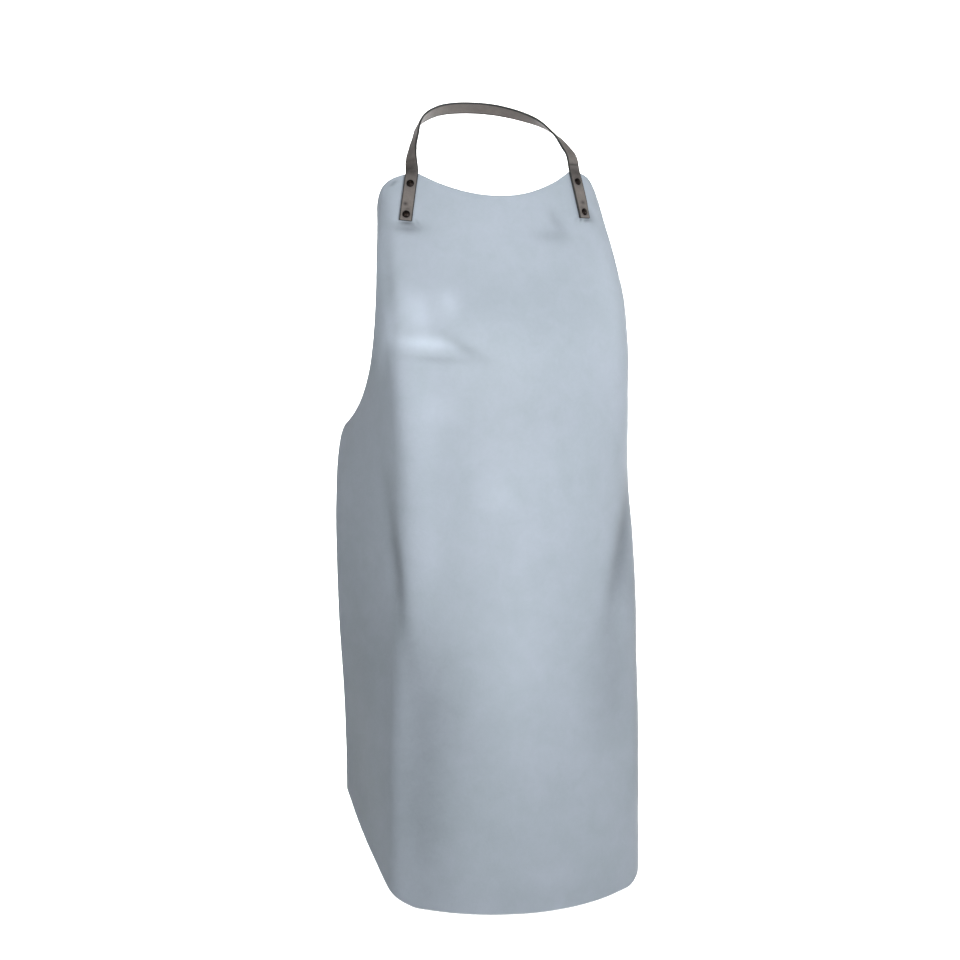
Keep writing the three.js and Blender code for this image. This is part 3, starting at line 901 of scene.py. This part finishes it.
def sheet_leather():
    """The sheet's outer face and cut edge: pale, matt, softly mottled."""
    s = Shader("sheet_leather_face")
    place = s.place()
    blotch = s.noise(place, scale=9, detail=2, roughness=0.5)
    mottle = s.noise(place, scale=38, detail=5, roughness=0.62, distortion=0.4)
    speck = s.noise(place, scale=210, detail=4, roughness=0.6)
    grain = s.noise(place, scale=1300, detail=3, roughness=0.6)
    creases = s.noise(place, scale=120, detail=6, roughness=0.65, distortion=1.2)
    swings = [s.swing(blotch, 0.06), s.swing(mottle, 0.075), s.swing(speck, 0.04)]
    # The patch attribute adds painted light and shade, and a nick, to the random mottling
    shade = s.maths("MAXIMUM", s.total(1.0, *swings, s.attribute("painted_light_shade_and_marks")), SHEET_DARKEST)
    hue = s.remap(s.total(s.times(blotch, 0.5), s.times(mottle, 0.5)), 0.35, 0.65)
    colour = s.shaded(s.blend(hue, *SHEET_COLOURS), shade)
    # The pale rim is partly the cut edge's own colour and partly a painted highlight along it
    rim = s.remap(s.attribute("edge"), 0.0, PALE_EDGE, 1.0, 0.0)
    rim = s.times(rim, s.remap(creases, 0.3, 0.6, 0.25, 0.9))
    height = s.total(s.times(grain, 0.3), s.times(speck, 0.35), s.times(creases, 0.5))
    return s.finish({
        "Base Color": s.blend(rim, colour, SHEET_EDGE_AND_HIGHLIGHT_COLOUR),
        "Roughness": s.total(0.6, s.swing(mottle, 0.08), s.swing(speck, 0.06)),
        "Normal": s.bump(height, strength=0.5, distance=0.0006),
        "Specular IOR Level": 0.35,
        "Sheen Weight": 0.12,
        "Sheen Roughness": 0.45,
    })


def back_leather():
    """The sheet's inner face: split leather with a nap, and fibres that run down it."""
    s = Shader("sheet_leather_back")
    place = s.place()
    blotch = s.noise(place, scale=11, detail=3, roughness=0.55, distortion=0.3)
    cloud = s.noise(place, scale=45, detail=4, roughness=0.6)
    nap = s.noise(place, scale=420, detail=5, roughness=0.7)
    drawn_out = s.stretched(place, (1.0, 1.0, 0.25))
    fibre = s.noise(drawn_out, scale=160, detail=4, roughness=0.65, distortion=0.8)
    swings = [s.swing(blotch, 0.1), s.swing(cloud, 0.09), s.swing(fibre, 0.1), s.swing(nap, 0.2)]
    shade = s.total(0.9, *swings)
    colour = s.shaded(s.blend(s.remap(blotch, 0.35, 0.65), *BACK_COLOURS), shade)
    rim = s.times(s.remap(s.attribute("edge"), 0.0, PALE_EDGE, 1.0, 0.0), 0.2)
    height = s.total(nap, s.times(fibre, 0.7))
    return s.finish({
        "Base Color": s.blend(rim, colour, BACK_EDGE_COLOUR),
        "Roughness": s.total(0.82, s.swing(nap, 0.08)),
        "Normal": s.bump(height, strength=0.5, distance=0.0005),
        "Specular IOR Level": 0.2,
        "Sheen Weight": 0.15,
        "Sheen Roughness": 0.6,
    })


def strap_leather():
    """The strap: worn grey-brown leather, streaked along its length, with painted shade on its
    cut edges.
    """
    s = Shader("strap_leather_face")
    flat = s.attribute("flat", "Vector")
    painted_light_shade_and_marks = s.attribute("painted_light_shade_and_marks")
    streaks = s.noise(s.stretched(flat, (1.0, 0.22, 1.0)), scale=420, detail=4, roughness=0.6)
    mottle = s.noise(flat, scale=90, detail=5, roughness=0.6)
    cloud = s.noise(flat, scale=28, detail=2, roughness=0.5)
    grain = s.noise(flat, scale=1500, detail=3, roughness=0.6)
    swings = [
        s.swing(streaks, 0.16),
        s.swing(mottle, 0.28),
        s.swing(cloud, 0.14),
        s.swing(grain, 0.08),
    ]
    # The strap's patches of painted shade and scuffs add to its random streaks and mottling
    shade = s.maths("MAXIMUM", s.total(1.0, painted_light_shade_and_marks, *swings), STRAP_DARKEST)
    colour = s.shaded(s.blend(s.remap(mottle, 0.35, 0.65), *STRAP_COLOURS), shade)
    # Painted shade: the cut edges and ends are made near-black
    painted_edge_shade = s.times(s.remap(s.attribute("edge"), 0.2, 0.9), 0.9)
    height = s.total(s.times(grain, 0.4), s.times(streaks, 0.4), s.times(mottle, 0.5))
    height = s.total(height, s.times(painted_light_shade_and_marks, 0.3))
    return s.finish({
        "Base Color": s.blend(painted_edge_shade, colour, STRAP_EDGE_SHADE_COLOUR),
        "Roughness": s.total(0.52, s.swing(mottle, 0.12)),
        "Normal": s.bump(height, strength=0.5, distance=0.0004),
        "Specular IOR Level": 0.28,
    })


def rivet_metal():
    """Dark antique brass, worn brighter on the crowns."""
    s = Shader("antique_brass")
    place = s.place()
    patches = s.noise(place, scale=650, detail=4, roughness=0.6)
    pits = s.noise(place, scale=2600, detail=3, roughness=0.6)
    worn = s.remap(s.total(s.attribute("crown"), s.swing(patches, 0.6)), 0.85, 1.3)
    height = s.total(patches, s.times(pits, 0.5))
    return s.finish({
        "Base Color": s.blend(worn, *RIVET_COLOURS),
        "Metallic": 0.9,
        "Roughness": s.total(0.3, s.swing(patches, 0.14)),
        "Normal": s.bump(height, strength=0.5, distance=0.0003),
    })


def dress():
    """Makes the pieces and ties them to the frame."""
    pattern = flat_pattern()
    sheet = make_sheet(pattern, sheet_leather(), back_leather())
    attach(sheet, "root")
    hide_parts("apron_body")
    strap = make_strap(strap_leather())
    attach(strap, "root")
    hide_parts("neck_strap")
    metal = rivet_metal()
    for side_name, side in (("left", -1), ("right", 1)):
        for row_name, down in RIVET_ROWS.items():
            node = f"rivet_{side_name}_{row_name}"
            rivet = make_rivet(node, side, down, metal)
            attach(rivet, "root")
            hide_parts(node)
    across, down, _ = pattern
    flat_area(across, down)


def paper():
    """The floor's and wall's plain pale surface."""
    s = Shader("studio_paper")
    return s.finish({
        "Base Color": (*PAPER_COLOUR, 1.0),
        "Roughness": 0.9,
        "Specular IOR Level": 0.2,
    })


def make_stage():
    """A wide pale floor, with a wall far behind that curves up from it."""
    floor = (-FLOOR_REACH, FLOOR_REACH)
    points = [(x, y, FLOOR_LEVEL) for y in floor for x in floor]
    faces = [(0, 1, 3, 2)]
    bend_start = WALL_BEHIND - WALL_BEND
    profile = [
        (bend_start + WALL_BEND * math.sin(a), WALL_SEAM + WALL_BEND * (1 - math.cos(a)))
        for a in np.radians(np.linspace(0, 90, WALL_BEND_POINTS))
    ]
    profile.append((WALL_BEHIND, WALL_HEIGHT))
    ends = (-WALL_REACH, WALL_REACH)
    starts = [len(points) + 2 * i for i in range(len(profile) - 1)]
    points += [(x, y, FLOOR_LEVEL + z) for y, z in profile for x in ends]
    faces += [(low, low + 1, low + 3, low + 2) for low in starts]
    new_mesh("studio_floor", points, faces, [paper()])


def aimed(place, target):
    """The rotation of a lamp or camera that looks from a place at a target."""
    return (Vector(target) - Vector(place)).to_track_quat("-Z", "Y")


def add_lamp(row):
    light = bpy.data.lights.new(row["name"], "AREA")
    light.shape = "DISK"
    light.size = row["width"]
    light.energy = row["power"]
    light.spread = math.radians(row["spread"])
    lamp = bpy.data.objects.new(row["name"], light)
    lamp.location = row["place"]
    lamp.rotation_mode = "QUATERNION"
    lamp.rotation_quaternion = aimed(row["place"], row["target"])
    lamp.visible_camera = False
    bpy.context.scene.collection.objects.link(lamp)


def light_scene():
    for row in table_rows(LAMP_COLUMNS, LAMPS):
        add_lamp(row)
    light_sky()


def light_sky():
    """A pale sky that meets the floor at the horizon without a line."""
    world = bpy.data.worlds.new("studio_world")
    world.use_nodes = True
    tree = world.node_tree
    background = tree.nodes["Background"]
    background.inputs["Color"].default_value = (1.0, 1.0, 1.0, 1.0)
    coordinates = tree.nodes.new("ShaderNodeTexCoord")
    direction = tree.nodes.new("ShaderNodeSeparateXYZ")
    rise = tree.nodes.new("ShaderNodeMapRange")
    rise.interpolation_type = "SMOOTHSTEP"
    for index, value in enumerate((0.0, SKY_RISE, SKY_AT_HORIZON, SKY_OVERHEAD), start=1):
        rise.inputs[index].default_value = value
    tree.links.new(coordinates.outputs["Generated"], direction.inputs[0])
    tree.links.new(direction.outputs["Z"], rise.inputs[0])
    tree.links.new(rise.outputs[0], background.inputs["Strength"])
    bpy.context.scene.world = world


def add_camera():
    camera = bpy.data.objects.new("camera", bpy.data.cameras.new("camera"))
    camera.data.lens = CAMERA_LENS
    camera.location = CAMERA_PLACE
    camera.rotation_mode = "QUATERNION"
    camera.rotation_quaternion = aimed(CAMERA_PLACE, CAMERA_TARGET)
    bpy.context.scene.collection.objects.link(camera)
    bpy.context.scene.camera = camera


add_camera()
dress()
make_stage()
light_scene()
bpy.context.scene.view_settings.view_transform = "Standard"
